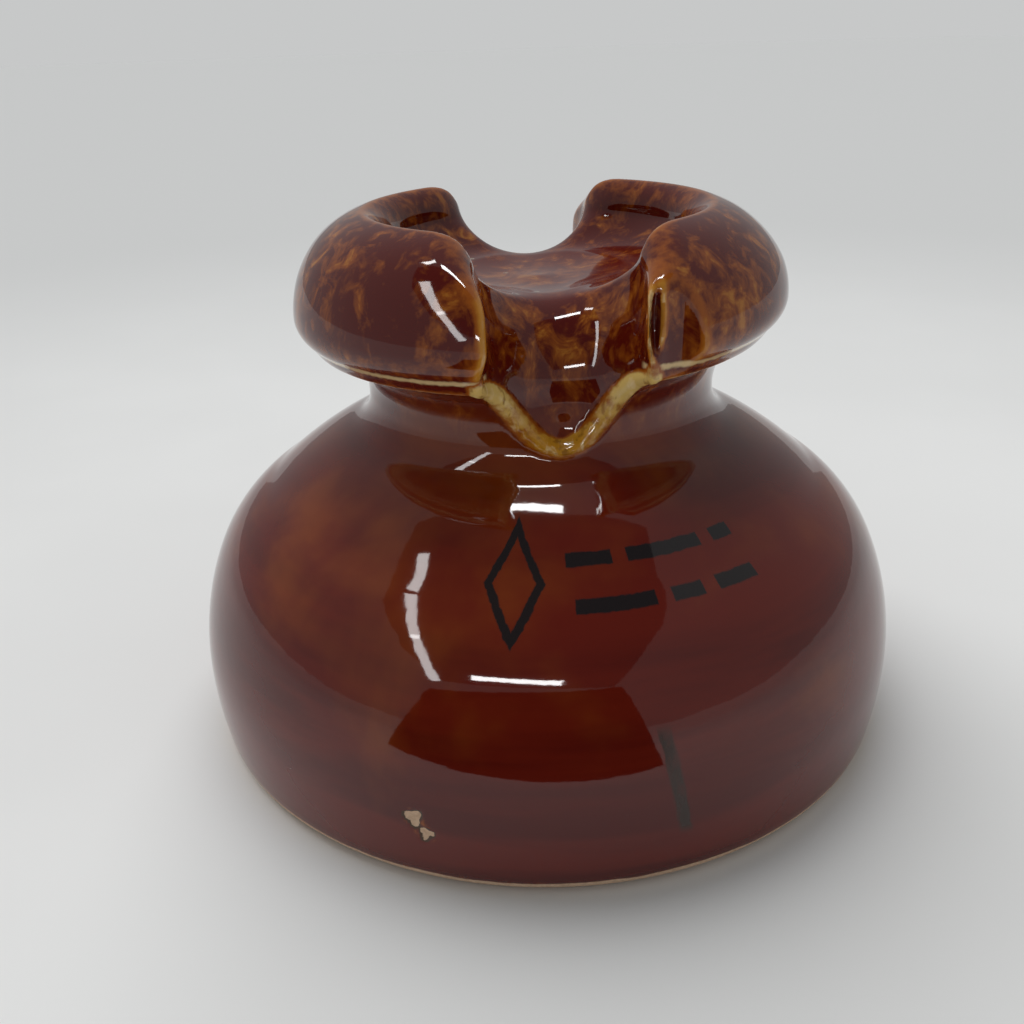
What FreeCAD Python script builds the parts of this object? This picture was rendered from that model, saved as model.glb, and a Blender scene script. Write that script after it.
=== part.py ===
import FreeCAD, Part
import math
import os
import re

import Sketcher
from FreeCAD import Placement, Rotation, Vector

# Glazed one-piece porcelain pin insulator with a cemented zinc thimble.
# Millimetres, +Z up. The skirt rim stands on Z = 0, the insulator's axis is Z and the
# conductor channel in the head runs along Y.

DIMENSIONS = {
    # Skirt, outer form
    "overall_height": 127.0,
    "skirt_radius": 88.9,
    "belly_height": 19.0,
    "rim_outer_radius": 82.9,
    "rim_corner": 4.8,
    "flank_radius": 83.4,
    "flank_height": 44.5,
    "dome_radius": 68.9,
    "dome_height": 60.9,
    "lower_belly_curve": 84.6,
    "upper_belly_curve": 61.8,
    "dome_curve": 35.3,
    "shoulder_slope_curve": 90.0,
    # Neck and tie-wire groove
    "shoulder_radius": 47.4,
    "shoulder_height": 74.9,
    "shoulder_fillet": 9.6,
    "neck_radius": 42.1,
    "neck_low_height": 83.2,
    "neck_high_height": 84.5,
    "tie_groove_curve": 12.6,
    # Head ring
    "lip_under_radius": 53.2,
    "lip_under_height": 97.0,
    "lip_radius": 55.4,
    "lip_height": 100.0,
    "lip_band_curve": 9.0,
    "head_low_curve": 6.0,
    "head_bulge_radius": 58.1,
    "head_bulge_height": 104.5,
    "head_side_curve": 22.0,
    "head_upper_radius": 56.3,
    "head_upper_height": 113.1,
    "head_top_curve": 23.8,
    "crest_radius": 40.5,
    # Shallow bowl in the crown
    "bowl_edge_curve": 6.5,
    "bowl_wall_radius": 35.5,
    "bowl_wall_height": 118.5,
    "bowl_wall_curve": 14.0,
    "bowl_floor_radius": 23.0,
    "crown_floor_height": 110.0,
    # Conductor channel
    "channel_radius": 17.0,
    "channel_throat_half": 16.6,
    "channel_edge_rise": 13.9,
    "channel_edge_curve": 3.0,
    "channel_clear_rise": 30.0,
    "channel_level_half": 20.8,
    "channel_turn_radius": 17.2,
    # Flute at one lobe's end
    "flute_radius": 7.7,
    "flute_across": 24.0,
    "flute_out": 57.6,
    # Inside of the skirt
    "rim_inner_corner": 3.0,
    "skirt_inner_low_radius": 73.6,
    "skirt_inner_radius": 75.2,
    "skirt_inner_high_radius": 70.0,
    "skirt_inner_high_height": 42.0,
    "skirt_inner_low_curve": 102.0,
    "skirt_inner_high_curve": 46.0,
    "outer_hollow_top_height": 50.0,
    "outer_hollow_top_radius": 62.6,
    "outer_hollow_outer_curve": 9.3,
    "outer_hollow_inner_curve": 7.6,
    "petticoat_outer_high_radius": 55.4,
    "petticoat_outer_high_height": 42.4,
    "petticoat_tip_height": 8.0,
    "petticoat_tip_radius": 49.4,
    "petticoat_tip_curve": 4.4,
    "petticoat_outer_low_radius": 53.8,
    "petticoat_inner_low_radius": 45.0,
    "petticoat_inner_high_radius": 46.0,
    "petticoat_low_height": 12.4,
    "inner_hollow_height": 46.0,
    "inner_hollow_curve": 4.8,
    "boss_high_radius": 36.8,
    "boss_low_radius": 35.0,
    "boss_face_height": 12.0,
    "boss_corner": 3.0,
    # Pinhole in the porcelain
    "pinhole_radius": 26.5,
    "pinhole_chamfer": 1.2,
    "pinhole_top_height": 75.0,
    "pinhole_top_corner": 4.0,
    # Sand band, cement, bitumen coat and seal
    "sand_thickness": 1.2,
    "sand_low_height": 15.0,
    "sand_high_height": 69.5,
    "coat_thickness": 0.5,
    "seal_thickness": 0.8,
    # Zinc thimble
    "thimble_mouth_height": 12.6,
    "thimble_top_height": 72.0,
    "thimble_wall_radius": 19.6,
    "rib_height": 1.5,
    "rib_pitch": 9.0,
    "rib_land": 2.4,
    "rib_first_height": 21.0,
    "rib_count": 5,
    "thimble_top_wall": 2.0,
    "thimble_corner": 2.5,
    "flange_radius": 22.2,
    "flange_thickness": 1.6,
    # Pin thread, 1 3/8 in with 4 threads per inch
    "thread_land_radius": 15.4,
    "thread_depth": 2.1,
    "thread_pitch": 6.35,
    "thread_root_width": 1.4,
    "thread_mouth_width": 2.9,
    "thread_overlap": 0.4,
    "thread_mouth_chamfer": 1.8,
    # Cork disc
    "cork_radius": 17.0,
}

doc = FreeCAD.newDocument("pin_insulator")
sheet = doc.addObject("Spreadsheet::Sheet", "Dims")
for row, (alias, value) in enumerate(DIMENSIONS.items(), start=1):
    sheet.set(f"A{row}", alias.replace("_", " "))
    sheet.set(f"B{row}", str(value))
    sheet.setAlias(f"B{row}", alias)
doc.recompute()


def bound(formula):
    """A formula in the sheet's aliases, written as an expression that reads the sheet."""
    return re.sub(r"\b[a-z]\w*\b(?!\()", r"Dims.\g<0>", formula)


def number(formula):
    """The formula's value in millimetres."""
    return float(sheet.evalExpression(bound(formula)))


def new_body(label):
    body = doc.addObject("PartDesign::Body", label)
    body.Label = label
    body.Placement = Placement(Vector(0, 0, 0), Rotation())
    return body


def origin_plane(body, role):
    return next(feature for feature in body.Origin.OriginFeatures if feature.Role == role)


def new_sketch(body, name, plane="XZ_Plane", raised=None):
    """A sketch on one of the body's own origin planes, raised along the plane's normal."""
    sketch = body.newObject("Sketcher::SketchObject", name)
    sketch.AttachmentSupport = [(origin_plane(body, plane), "")]
    sketch.MapMode = "FlatFace"
    if raised is not None:
        sketch.setExpression(".AttachmentOffset.Base.z", bound(raised))
    return sketch


def tie(sketch, kind, name, formula, *where):
    """Adds a dimension to the sketch and binds it to the sheet."""
    index = sketch.addConstraint(Sketcher.Constraint(kind, *where, number(formula)))
    sketch.renameConstraint(index, name)
    sketch.setExpression(f"Constraints.{name}", bound(formula))


def arc_through(start, end, radius):
    """The arc of up to half a turn from start to end, and whether it runs anticlockwise.
    A positive radius has its centre on the left of the way from start to end."""
    chord = end - start
    reach = math.sqrt(radius**2 - (chord.Length / 2) ** 2)
    left = Vector(-chord.y, chord.x, 0).normalize()
    centre = (start + end) / 2 + left * math.copysign(reach, radius)
    first, last = (start, end) if radius > 0 else (end, start)
    angles = [math.atan2(p.y - centre.y, p.x - centre.x) for p in (first, last)]
    if angles[1] < angles[0]:
        angles[1] += 2 * math.pi
    circle = Part.Circle(centre, Vector(0, 0, 1), abs(radius))
    return Part.ArcOfCircle(circle, *angles), radius > 0


def draw_outline(sketch, corners):
    """A closed outline. Each corner is (across, up), and the edge that leaves it is straight,
    or (across, up, radius) where that edge is an arc: centre on the left of travel if the
    radius is written plainly, on the right if it is written with a minus sign."""
    first = sketch.GeometryCount
    places = [Vector(number(c[0]), number(c[1]), 0) for c in corners]
    ends = []
    for i, corner in enumerate(corners):
        start, end = places[i], places[(i + 1) % len(corners)]
        anticlockwise = True
        if len(corner) == 3:
            edge, anticlockwise = arc_through(start, end, number(corner[2]))
        else:
            edge = Part.LineSegment(start, end)
        sketch.addGeometry(edge, False)
        ends.append((1, 2) if anticlockwise else (2, 1))
    for i, corner in enumerate(corners):
        here, after = first + i, first + (i + 1) % len(corners)
        start = ends[i][0]
        next_start = ends[(i + 1) % len(corners)][0]
        sketch.addConstraint(Sketcher.Constraint("Coincident", here, ends[i][1], after, next_start))
        if corner[0] == "0":
            sketch.addConstraint(Sketcher.Constraint("PointOnObject", here, start, -2))
        else:
            tie(sketch, "DistanceX", f"across_{here}", corner[0], -1, 1, here, start)
        if corner[1] == "0":
            sketch.addConstraint(Sketcher.Constraint("PointOnObject", here, start, -1))
        else:
            tie(sketch, "DistanceY", f"up_{here}", corner[1], -1, 1, here, start)
        if len(corner) == 3:
            tie(sketch, "Radius", f"curve_{here}", corner[2].lstrip("-"), here)


def revolve(body, name, corners, kind="PartDesign::Revolution"):
    """A full turn of an outline about the insulator's axis."""
    sketch = new_sketch(body, name + "_outline")
    draw_outline(sketch, corners)
    turn = body.newObject(kind, name)
    turn.Profile = sketch
    turn.ReferenceAxis = (sketch, ["V_Axis"])
    turn.Angle = 360
    sketch.Visibility = False
    return turn


def must_fill(body, what):
    """The body's volume, once it is sure that it has one."""
    doc.recompute()
    if body.Shape.isNull() or not body.Shape.isValid():
        raise RuntimeError(f"{what} has no valid shape")
    return body.Shape.Volume


def must_cut(body, before, what):
    """Stops if the last feature took nothing off the body."""
    doc.recompute()
    if body.Shape.Volume > before - 1:
        raise RuntimeError(f"{what} cut nothing")
    return body.Shape.Volume


# ---------------------------------------------------------------- porcelain shell

OUTER_FORM = [
    ("skirt_inner_low_radius + rim_inner_corner", "0"),
    ("rim_outer_radius", "0", "rim_corner"),
    ("rim_outer_radius + rim_corner", "rim_corner", "lower_belly_curve"),
    ("skirt_radius", "belly_height", "upper_belly_curve"),
    ("flank_radius", "flank_height", "dome_curve"),
    ("dome_radius", "dome_height", "shoulder_slope_curve"),
    ("shoulder_radius", "shoulder_height", "-shoulder_fillet"),
    ("neck_radius", "neck_low_height"),
    ("neck_radius", "neck_high_height", "-tie_groove_curve"),
    ("lip_under_radius", "lip_under_height", "lip_band_curve"),
    ("lip_radius", "lip_height", "head_low_curve"),
    ("head_bulge_radius", "head_bulge_height", "head_side_curve"),
    ("head_upper_radius", "head_upper_height", "head_top_curve"),
]

CROWN_BOWL = [
    ("crest_radius", "overall_height", "bowl_edge_curve"),
    ("bowl_wall_radius", "bowl_wall_height", "-bowl_wall_curve"),
    ("bowl_floor_radius", "crown_floor_height"),
    ("0", "crown_floor_height"),
]

PINHOLE = [
    ("0", "pinhole_top_height"),
    ("pinhole_radius - pinhole_top_corner", "pinhole_top_height", "-pinhole_top_corner"),
    ("pinhole_radius", "pinhole_top_height - pinhole_top_corner"),
    ("pinhole_radius", "boss_face_height + pinhole_chamfer"),
    ("pinhole_radius + pinhole_chamfer", "boss_face_height"),
]

UNDERSIDE = [
    ("boss_low_radius - boss_corner", "boss_face_height", "boss_corner"),
    ("boss_low_radius", "boss_face_height + boss_corner"),
    ("boss_high_radius", "inner_hollow_height", "-inner_hollow_curve"),
    ("petticoat_inner_high_radius", "inner_hollow_height"),
    ("petticoat_inner_low_radius", "petticoat_low_height", "petticoat_tip_curve"),
    ("petticoat_tip_radius", "petticoat_tip_height", "petticoat_tip_curve"),
    ("petticoat_outer_low_radius", "petticoat_low_height"),
    ("petticoat_outer_high_radius", "petticoat_outer_high_height", "-outer_hollow_inner_curve"),
    ("outer_hollow_top_radius", "outer_hollow_top_height", "-outer_hollow_outer_curve"),
    ("skirt_inner_high_radius", "skirt_inner_high_height", "-skirt_inner_high_curve"),
    ("skirt_inner_radius", "belly_height", "-skirt_inner_low_curve"),
    ("skirt_inner_low_radius", "rim_inner_corner", "rim_inner_corner"),
]

shell = new_body("porcelain_shell")
revolve(shell, "shell_turning", OUTER_FORM + CROWN_BOWL + PINHOLE + UNDERSIDE)
volume = must_fill(shell, "the shell")

# The channel's section: a round bottom, steep walls and rounded upper edges, open above.
ARC_TOP = "crown_floor_height + channel_radius - sqrt(channel_radius^2 - channel_throat_half^2)"
EDGE_FOOT = "crown_floor_height + channel_edge_rise"
CHANNEL_SECTION = [
    ("-channel_throat_half", ARC_TOP, "channel_radius"),
    ("channel_throat_half", ARC_TOP),
    ("channel_throat_half", EDGE_FOOT, "-channel_edge_curve"),
    ("channel_throat_half + channel_edge_curve", f"{EDGE_FOOT} + channel_edge_curve"),
    ("channel_throat_half + channel_edge_curve", "crown_floor_height + channel_clear_rise"),
    ("-channel_throat_half - channel_edge_curve", "crown_floor_height + channel_clear_rise"),
    ("-channel_throat_half - channel_edge_curve",
     f"{EDGE_FOOT} + channel_edge_curve", "-channel_edge_curve"),
    ("-channel_throat_half", EDGE_FOOT),
]

# The bowl is open enough to be the channel's level stretch. At each end the channel bends down
# through a quarter turn towards the neck, then runs out in a ball-ended hollow.
for side, name in ((1, "front"), (-1, "back")):
    offset = "channel_level_half" if side > 0 else "-channel_level_half"
    sketch = new_sketch(shell, f"channel_{name}_section", raised=offset)
    draw_outline(sketch, CHANNEL_SECTION)
    hinge_height = "crown_floor_height - channel_turn_radius"
    width = number("channel_throat_half")
    hinge_line = Part.LineSegment(
        Vector(-width, number(hinge_height), 0), Vector(width, number(hinge_height), 0))
    hinge = sketch.addGeometry(hinge_line, True)
    sketch.addConstraint(Sketcher.Constraint("Horizontal", hinge))
    tie(sketch, "DistanceY", "hinge_height", hinge_height, -1, 1, hinge, 1)
    turn = shell.newObject("PartDesign::Groove", f"channel_{name}_turn")
    turn.Profile = sketch
    turn.ReferenceAxis = (sketch, ["Axis0"])
    turn.Angle = 90
    turn.Reversed = side < 0
    volume = must_cut(shell, volume, f"channel_{name}_turn")
    ball = shell.newObject("PartDesign::SubtractiveSphere", f"channel_{name}_ball")
    ball.AttachmentSupport = [(origin_plane(shell, "XY_Plane"), "")]
    ball.MapMode = "FlatFace"
    ball.setExpression("Radius", bound("channel_radius"))
    reach = "channel_level_half + channel_turn_radius + channel_radius"
    ball.setExpression(".AttachmentOffset.Base.y", bound(reach if side < 0 else f"-({reach})"))
    ball.setExpression(".AttachmentOffset.Base.z", bound(hinge_height))
    volume = must_cut(shell, volume, f"channel_{name}_ball")

# Flute down the end of the lobe at +X, -Y.
sketch = new_sketch(shell, "flute_section", "XY_Plane", raised="shoulder_height")
middle = Vector(number("flute_across"), number("-flute_out"), 0)
circle = Part.Circle(middle, Vector(0, 0, 1), number("flute_radius"))
ring = sketch.addGeometry(circle, False)
tie(sketch, "DistanceX", "flute_across", "flute_across", -1, 1, ring, 3)
tie(sketch, "DistanceY", "flute_out", "-flute_out", -1, 1, ring, 3)
tie(sketch, "Radius", "flute_radius", "flute_radius", ring)
flute = shell.newObject("PartDesign::Pocket", "lobe_flute")
flute.Profile = sketch
flute.Reversed = True
flute.setExpression("Length", bound("overall_height - shoulder_height"))
volume = must_cut(shell, volume, "lobe_flute")


# ---------------------------------------------------------------- cemented thimble

RIBS = int(DIMENSIONS["rib_count"])
FACE = "thimble_mouth_height + flange_thickness"


def ribbed_wall(coat):
    """The thimble's ribbed outside under a coat, from the cement's face up to its closed end."""
    wall = f"thimble_wall_radius + {coat}"
    crest = f"thimble_wall_radius + rib_height + {coat}"
    corners = [(wall, FACE)]
    for i in range(RIBS):
        foot = f"rib_first_height + {i} * rib_pitch"
        corners += [
            (wall, foot),
            (crest, f"{foot} + rib_height"),
            (crest, f"{foot} + rib_height + rib_land"),
            (wall, f"{foot} + 2 * rib_height + rib_land"),
        ]
    corners.append((wall, "thimble_top_height - thimble_corner", "thimble_corner"))
    corners.append((f"{wall} - thimble_corner", f"thimble_top_height + {coat}"))
    return corners


def backwards(corners):
    """The same open line walked the other way, with each arc's centre on the other side."""
    turned = [corner[:2] for corner in reversed(corners)]
    for i, corner in enumerate(corners):
        if len(corner) == 3:
            place = len(corners) - 2 - i
            turned[place] += ("-" + corner[2],)
    return turned


def wall_with_coat(coat):
    """The ribbed wall, with its top corner widened so that it stays tangent under the coat."""
    corners = ribbed_wall(coat)
    corners[-2] = (corners[-2][0], f"{corners[-2][1]} + {coat}", "thimble_corner")
    return corners


sand = new_body("pinhole_sand_band")
revolve(sand, "sand_sleeve", [
    ("pinhole_radius - sand_thickness", "sand_low_height"),
    ("pinhole_radius", "sand_low_height"),
    ("pinhole_radius", "sand_high_height"),
    ("pinhole_radius - sand_thickness", "sand_high_height"),
])

cement = new_body("thimble_cement")
revolve(cement, "cement_sleeve", [
    ("pinhole_radius", FACE),
    ("pinhole_radius", "sand_low_height"),
    ("pinhole_radius - sand_thickness", "sand_low_height"),
    ("pinhole_radius - sand_thickness", "sand_high_height"),
    ("pinhole_radius", "sand_high_height"),
    ("pinhole_radius", "pinhole_top_height - pinhole_top_corner", "pinhole_top_corner"),
    ("pinhole_radius - pinhole_top_corner", "pinhole_top_height"),
    ("cork_radius", "pinhole_top_height"),
    ("cork_radius", "thimble_top_height + coat_thickness"),
] + backwards(wall_with_coat("coat_thickness")))

coat = new_body("bitumen_coat")
revolve(coat, "coat_film", wall_with_coat("coat_thickness") + [
    ("0", "thimble_top_height + coat_thickness"),
    ("0", "thimble_top_height"),
] + backwards(wall_with_coat("0")))

cork = new_body("crown_cork_disc")
revolve(cork, "cork_turning", [
    ("0", "thimble_top_height + coat_thickness"),
    ("cork_radius", "thimble_top_height + coat_thickness"),
    ("cork_radius", "pinhole_top_height"),
    ("0", "pinhole_top_height"),
])

seal = new_body("cement_face_seal")
revolve(seal, "seal_ring", [
    ("flange_radius", f"{FACE} - seal_thickness"),
    ("pinhole_radius", f"{FACE} - seal_thickness"),
    ("pinhole_radius", FACE),
    ("flange_radius", FACE),
])

thimble = new_body("zinc_thimble")
revolve(thimble, "thimble_turning", [
    ("thread_land_radius + thread_mouth_chamfer", "thimble_mouth_height"),
    ("flange_radius", "thimble_mouth_height"),
    ("flange_radius", FACE),
] + wall_with_coat("0") + [
    ("0", "thimble_top_height"),
    ("0", "thimble_top_height - thimble_top_wall"),
    ("thread_land_radius", "thimble_top_height - thimble_top_wall"),
    ("thread_land_radius", "thimble_mouth_height + thread_mouth_chamfer"),
])
volume = must_fill(thimble, "the thimble")

# The pin thread: a coarse groove that starts a turn below the mouth and ends near the closed end.
sketch = new_sketch(thimble, "thread_section")
START = "thimble_mouth_height - thread_pitch"
draw_outline(sketch, [
    ("thread_land_radius - thread_overlap", f"{START} - thread_mouth_width / 2"),
    ("thread_land_radius", f"{START} - thread_mouth_width / 2"),
    ("thread_land_radius + thread_depth", f"{START} - thread_root_width / 2"),
    ("thread_land_radius + thread_depth", f"{START} + thread_root_width / 2"),
    ("thread_land_radius", f"{START} + thread_mouth_width / 2"),
    ("thread_land_radius - thread_overlap", f"{START} + thread_mouth_width / 2"),
])
thread = thimble.newObject("PartDesign::SubtractiveHelix", "pin_thread")
thread.Profile = sketch
thread.ReferenceAxis = (sketch, ["V_Axis"])
thread.Mode = "pitch-height-angle"
thread.setExpression("Pitch", bound("thread_pitch"))
thread.setExpression("Height", bound("thimble_top_height - thimble_top_wall - thimble_mouth_height"))
volume = must_cut(thimble, volume, "pin_thread")


# ---------------------------------------------------------------- checks and files

bodies = [shell, sand, cement, coat, thimble, cork, seal]
failed = [thing.Name for thing in doc.Objects if {"Invalid", "Error"} & set(thing.State)]
if failed:
    raise RuntimeError(f"failed features: {failed}")
os.makedirs("parts", exist_ok=True)
for body in bodies:
    must_fill(body, body.Label)
    if len(body.Shape.Solids) != 1:
        raise RuntimeError(f"{body.Label} is not one solid")
for body in bodies:
    body.Shape.exportStep(f"parts/{body.Label}.step")
    print(body.Label, round(body.Shape.Volume), "mm3")
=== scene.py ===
import math

import bpy
import numpy as np
from mathutils import Matrix, Vector


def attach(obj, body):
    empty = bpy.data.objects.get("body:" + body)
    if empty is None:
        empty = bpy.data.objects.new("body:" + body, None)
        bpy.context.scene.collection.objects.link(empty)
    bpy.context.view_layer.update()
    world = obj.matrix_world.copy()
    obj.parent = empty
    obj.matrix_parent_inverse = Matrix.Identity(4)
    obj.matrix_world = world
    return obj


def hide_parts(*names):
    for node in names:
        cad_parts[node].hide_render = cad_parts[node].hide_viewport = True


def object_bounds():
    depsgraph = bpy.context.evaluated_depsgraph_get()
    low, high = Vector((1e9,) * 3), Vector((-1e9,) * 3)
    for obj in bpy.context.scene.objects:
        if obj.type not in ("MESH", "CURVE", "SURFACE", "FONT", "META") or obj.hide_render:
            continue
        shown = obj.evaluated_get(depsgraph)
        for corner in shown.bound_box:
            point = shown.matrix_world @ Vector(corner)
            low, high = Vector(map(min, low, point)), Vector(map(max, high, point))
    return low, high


# A brown-glazed porcelain pin insulator standing on its skirt rim, in a plain light tent.
# Lengths in this file are millimetres until a mesh, light or camera is made; +Z is up and the
# conductor channel in the head runs along Y.

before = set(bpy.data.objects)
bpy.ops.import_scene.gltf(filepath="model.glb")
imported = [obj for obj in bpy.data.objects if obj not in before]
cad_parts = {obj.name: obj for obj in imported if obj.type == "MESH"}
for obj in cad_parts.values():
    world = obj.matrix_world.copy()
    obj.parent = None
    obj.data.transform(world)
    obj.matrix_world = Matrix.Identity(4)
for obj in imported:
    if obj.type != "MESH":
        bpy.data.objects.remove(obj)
CAD_LOW, CAD_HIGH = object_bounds()
MM = 0.001


# ---------------------------------------------------------------- outline of the porcelain

# Corners (radius, height, curve of the run that leaves the corner). A curve of 0 is a straight
# run, a plain radius is an arc with its centre on the left of travel, a minus sign puts it on
# the right. The outline goes from the axis in the pinhole, under the skirt, up the outside,
# over the head and down into the crown's bowl.
CREST_HEIGHT = 126.1
PINHOLE = [(0, 75, 0), (22.5, 75, -4.0), (26.5, 71, 0), (26.5, 13.2, 0), (27.7, 12.0, 0)]
BOSS = [(32.0, 12.0, 3.0), (35.0, 15.0, 0), (36.8, 46.0, -4.8), (46.0, 46.0, 0)]
PETTICOAT = [(45.0, 12.4, 4.4), (49.4, 8.0, 4.4), (53.8, 12.4, 0), (55.4, 42.4, -7.6)]
SKIRT_INSIDE = [(62.6, 50.0, -9.3), (70.0, 42.0, -46.0), (75.2, 19.0, -102.0), (73.6, 3.0, 3.0)]
SKIRT_OUTSIDE = [(76.6, 0, 0), (82.9, 0, 4.8), (87.7, 4.8, 84.6), (88.9, 19.0, 61.8),
                 (83.4, 44.5, 35.3), (68.9, 60.9, 90.0), (47.4, 74.9, -9.6)]
NECK = [(42.1, 83.2, 0), (42.1, 84.5, -12.6), (53.2, 97.0, 9.0)]
HEAD_RING = [(55.4, 100.0, 6.0), (58.1, 104.5, 22.0), (56.3, 113.1, 23.8)]
BOWL = [(40.5, CREST_HEIGHT, 6.5), (35.5, 118.5, -17.0), (21.0, 110.6, -60.0), (0, 109.4, 0)]
OUTLINE = PINHOLE + BOSS + PETTICOAT + SKIRT_INSIDE + SKIRT_OUTSIDE + NECK + HEAD_RING + BOWL

OUTLINE_STEP = 0.2
EDGE_SOFTNESS = 0.55

# The outline is cut in the neck. Below the cut it is turned into rings, above it shapes the
# head's field, which starts a little lower so that the cut lies well inside it.
CUT_HEIGHT = 75.7
INSIDE_NECK = 40
CUT_OVERLAP = 20


def walk(corners, step):
    """Points along an outline of straight runs and arcs."""
    runs = []
    for (r0, z0, curve), (r1, z1, _) in zip(corners, corners[1:]):
        start, end = np.array([r0, z0], float), np.array([r1, z1], float)
        chord = end - start
        length = math.hypot(*chord)
        share = np.linspace(0, 1, max(2, math.ceil(length / step)), endpoint=False)
        if curve == 0:
            runs.append(start + share[:, None] * chord)
            continue
        left = np.array([-chord[1], chord[0]]) / length
        reach = math.sqrt(curve**2 - length**2 / 4)
        centre = (start + end) / 2 + left * math.copysign(reach, curve)
        first = math.atan2(*(start - centre)[::-1])
        sweep = math.copysign(2 * math.asin(length / 2 / abs(curve)), curve)
        angles = first + share * sweep
        runs.append(centre + abs(curve) * np.column_stack([np.cos(angles), np.sin(angles)]))
    runs.append(np.array([corners[-1][:2]], float))
    return np.vstack(runs)


def even(line, step):
    """The same line with its points an even step apart."""
    along = np.r_[0, np.cumsum(np.hypot(*np.diff(line, axis=0).T))]
    stops = np.linspace(0, along[-1], round(along[-1] / step) + 1)
    return np.column_stack([np.interp(stops, along, line[:, i]) for i in (0, 1)])


def soften(line, spread, step):
    """Rounds the corners of a line that starts and ends square on the axis."""
    reach = math.ceil(4 * spread / step)
    weights = np.exp(-0.5 * (np.arange(-reach, reach + 1) * step / spread) ** 2)
    weights /= weights.sum()
    mirror = np.array([-1.0, 1.0])
    before = line[reach:0:-1] * mirror
    after = line[-2:-reach - 2:-1] * mirror
    padded = np.vstack([before, line, after])
    return np.column_stack([np.convolve(padded[:, i], weights, "valid") for i in (0, 1)])


outline = soften(even(walk(OUTLINE, OUTLINE_STEP), OUTLINE_STEP), EDGE_SOFTNESS, OUTLINE_STEP)
outline[[0, -1], 0] = 0
cut = np.flatnonzero((outline[:, 1] < CUT_HEIGHT) & (outline[:, 0] > INSIDE_NECK))[-1]
lower_outline = outline[:cut + 1]
upper_outline = outline[cut - CUT_OVERLAP:]


# ---------------------------------------------------------------- head: a distance field

def smooth_max(a, b, width):
    """The larger of two distances, with the corner between them rounded."""
    h = np.maximum(width - np.abs(a - b), 0) / width
    return np.maximum(a, b) + h * h * width / 4


def smooth_min(a, b, width):
    return -smooth_max(-a, -b, width)


def step_up(low, high, value):
    """0 below low, 1 above high, smooth between."""
    t = np.clip((value - low) / (high - low), 0, 1)
    return t * t * (3 - 2 * t)


def signed_distance(points, line):
    """Distance from each point to the line, negative on its left, which is the porcelain's side."""
    start, run = line[:-1], np.diff(line, axis=0)
    out = np.empty(len(points))
    for i in range(0, len(points), 512):
        offset = points[i:i + 512, None] - start
        share = np.clip((offset * run).sum(2) / (run**2).sum(1), 0, 1)
        away = offset - share[:, :, None] * run
        reach = (away**2).sum(2)
        near = reach.argmin(1)
        rows = np.arange(len(near))
        off = offset[rows, near]
        side = run[near, 0] * off[:, 1] - run[near, 1] * off[:, 0]
        out[i:i + 512] = np.sqrt(reach[rows, near]) * np.where(side > 0, -1, 1)
    return out


TABLE_STEP = 0.25
TABLE_LOW = (-1.0, 72.0)
TABLE_HIGH = (65, 132)
table_r = np.arange(TABLE_LOW[0], TABLE_HIGH[0], TABLE_STEP)
table_z = np.arange(TABLE_LOW[1], TABLE_HIGH[1], TABLE_STEP)
table_points = np.stack(np.meshgrid(np.abs(table_r), table_z, indexing="ij"), -1).reshape(-1, 2)
table = signed_distance(table_points, upper_outline).reshape(len(table_r), len(table_z))


def turned_form(r, z):
    """Distance to the turned head, read from the table with smooth weights."""
    out = 0
    places, shares = [], []
    for value, low, size in ((r, TABLE_LOW[0], len(table_r)), (z, TABLE_LOW[1], len(table_z))):
        at = np.clip((value - low) / TABLE_STEP, 1, size - 2)
        near = np.rint(at).astype(int).clip(1, size - 2)
        f = at - near
        places.append(near)
        shares.append((0.5 * (0.5 - f) ** 2, 0.75 - f * f, 0.5 * (0.5 + f) ** 2))
    for i in (-1, 0, 1):
        for j in (-1, 0, 1):
            weight = shares[0][i + 1] * shares[1][j + 1]
            out = out + weight * table[places[0] + i, places[1] + j]
    return out


# Conductor channel: a round-bottomed tube that runs level through the crown, turns down at
# both ends about a hinge line and ends in a ball.
CHANNEL_RADIUS = 17.0
CHANNEL_LEVEL = 20.8
CHANNEL_TURN = 17.2
CROWN_FLOOR = 110.0
HINGE_HEIGHT = CROWN_FLOOR - CHANNEL_TURN

# How much narrower the channel's mouths are above the lip, and how far its edge is rounded:
# tight low down, with this much more at the crest.
CHANNEL_PINCH = 1.3
CHANNEL_EDGE = 2.2
CREST_EDGE_EXTRA = 6.3

# Flute down one lobe's end: centre, radius, and how softly it meets the lobe.
FLUTE = (22.9, -56.8, 7.3, 1.3)

# Small hollows: centre, half sizes, and how softly each meets the surface round it. The first is
# the slot beside the flute, then the pit at the lip's corner, the thumbprint low in the
# channel's mouth, and a nick in the rim of the bulge.
HOLLOWS = [((17.7, -53.6, 110.4), (1.45, 5.2, 7.4), 0.9),
           ((-15.9, -54.9, 99.0), (1.7, 1.6, 1.5), 0.7),
           ((0.6, -44.1, 86.2), (5.0, 5.0, 5.0), 1.2),
           ((54.6, -23.4, 105.9), (1.1, 2.0, 1.4), 0.5)]


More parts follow.
